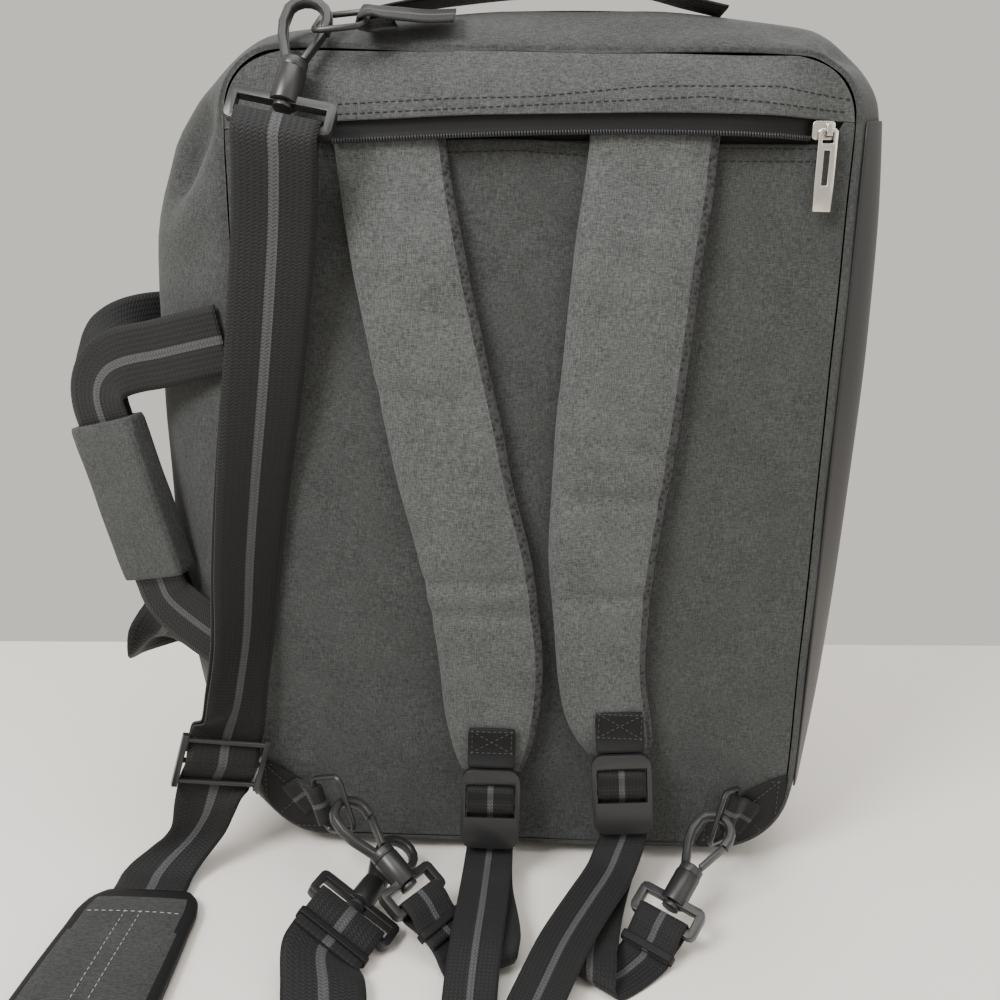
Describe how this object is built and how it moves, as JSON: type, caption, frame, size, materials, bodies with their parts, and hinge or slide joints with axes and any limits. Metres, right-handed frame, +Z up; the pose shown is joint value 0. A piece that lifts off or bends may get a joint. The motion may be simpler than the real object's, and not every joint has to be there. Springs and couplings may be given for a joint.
{
  "type": "convertible backpack",
  "caption": "Soft zip bag with padded shoulder straps tucked in a rear pocket, a hooked sling strap, and side and top carry handles; carries as backpack or briefcase.",
  "frame": {"origin": "centre of the bag's flat base, on the surface that it stands on", "axes": "+Z up; -Y out of the back face, which has the shoulder straps; +X to the right for someone who looks at that face"},
  "size_m": [0.4118, 0.4601, 0.4484],
  "materials": {
    "heather_cloth": "heathered polyester cloth, matt",
    "side_vinyl": "smooth dark vinyl, satin",
    "striped_webbing": "black webbing with a grey centre stripe",
    "black_plastic": "semi-gloss moulded plastic",
    "hook_plastic": "semi-gloss moulded plastic",
    "zip_metal": "warm silver plating",
    "zip_tape": "black woven tape with coil"
  },
  "bodies": {
    "bag": {"main_shell": "heather_cloth", "zip_end_tab": "heather_cloth", "back_wall": "heather_cloth", "pocket_panel": "heather_cloth", "pocket_yoke": "heather_cloth", "pad_left": "heather_cloth", "pad_right": "heather_cloth", "sling_pad": "heather_cloth", "side_handle_grip": "heather_cloth", "vinyl_side": "side_vinyl", "pad_tab_left": "striped_webbing", "pad_tab_right": "striped_webbing", "strap_left": "striped_webbing", "strap_right": "striped_webbing", "keeper_left": "striped_webbing", "keeper_right": "striped_webbing", "keeper_sling": "striped_webbing", "sling_strap_front": "striped_webbing", "sling_strap_back": "striped_webbing", "side_handle_back": "striped_webbing", "side_handle_front": "striped_webbing", "top_handle": "striped_webbing", "corner_patch_left": "striped_webbing", "corner_patch_right": "striped_webbing", "corner_left_loop": "striped_webbing", "corner_right_loop": "striped_webbing", "top_loop": "striped_webbing", "ladder_lock_left": "black_plastic", "ladder_lock_right": "black_plastic", "hook_left_base": "black_plastic", "hook_right_base": "black_plastic", "sling_hook_top_base": "black_plastic", "sling_hook_free_base": "black_plastic", "sling_slider": "black_plastic", "corner_left_ring": "black_plastic", "corner_right_ring": "black_plastic", "top_ring": "black_plastic", "hook_left": "hook_plastic", "hook_left_gate": "hook_plastic", "hook_right": "hook_plastic", "hook_right_gate": "hook_plastic", "sling_hook_top": "hook_plastic", "sling_hook_top_gate": "hook_plastic", "zip_slider": "zip_metal", "main_zip": "zip_tape", "zip_tape_upper": "zip_tape", "zip_tape_lower": "zip_tape"},
    "zip_pull": {"zip_pull": "zip_metal"},
    "free_hook": {"sling_hook_free": "hook_plastic"},
    "free_gate": {"sling_hook_free_gate": "hook_plastic"}
  },
  "joints": [
    {"name": "zip_pull_swing", "type": "hinge", "parent": "bag", "child": "zip_pull", "pos_m": [0.1311, -0.04666, 0.38381], "axis": [-1, 0, 0], "range_deg": [0, 160]},
    {"name": "free_hook_swivel", "type": "hinge", "parent": "bag", "child": "free_hook", "pos_m": [-0.07699, -0.10405, 0.01502], "axis": [0.3201, 0.9474, 0], "continuous": true},
    {"name": "free_gate_swing", "type": "hinge", "parent": "free_hook", "child": "free_gate", "pos_m": [-0.06784, -0.08688, 0.01332], "axis": [0.4473, -0.1511, 0.8815], "range_deg": [0, 14], "stiffness_Nm_per_rad": 0.001}
  ]
}
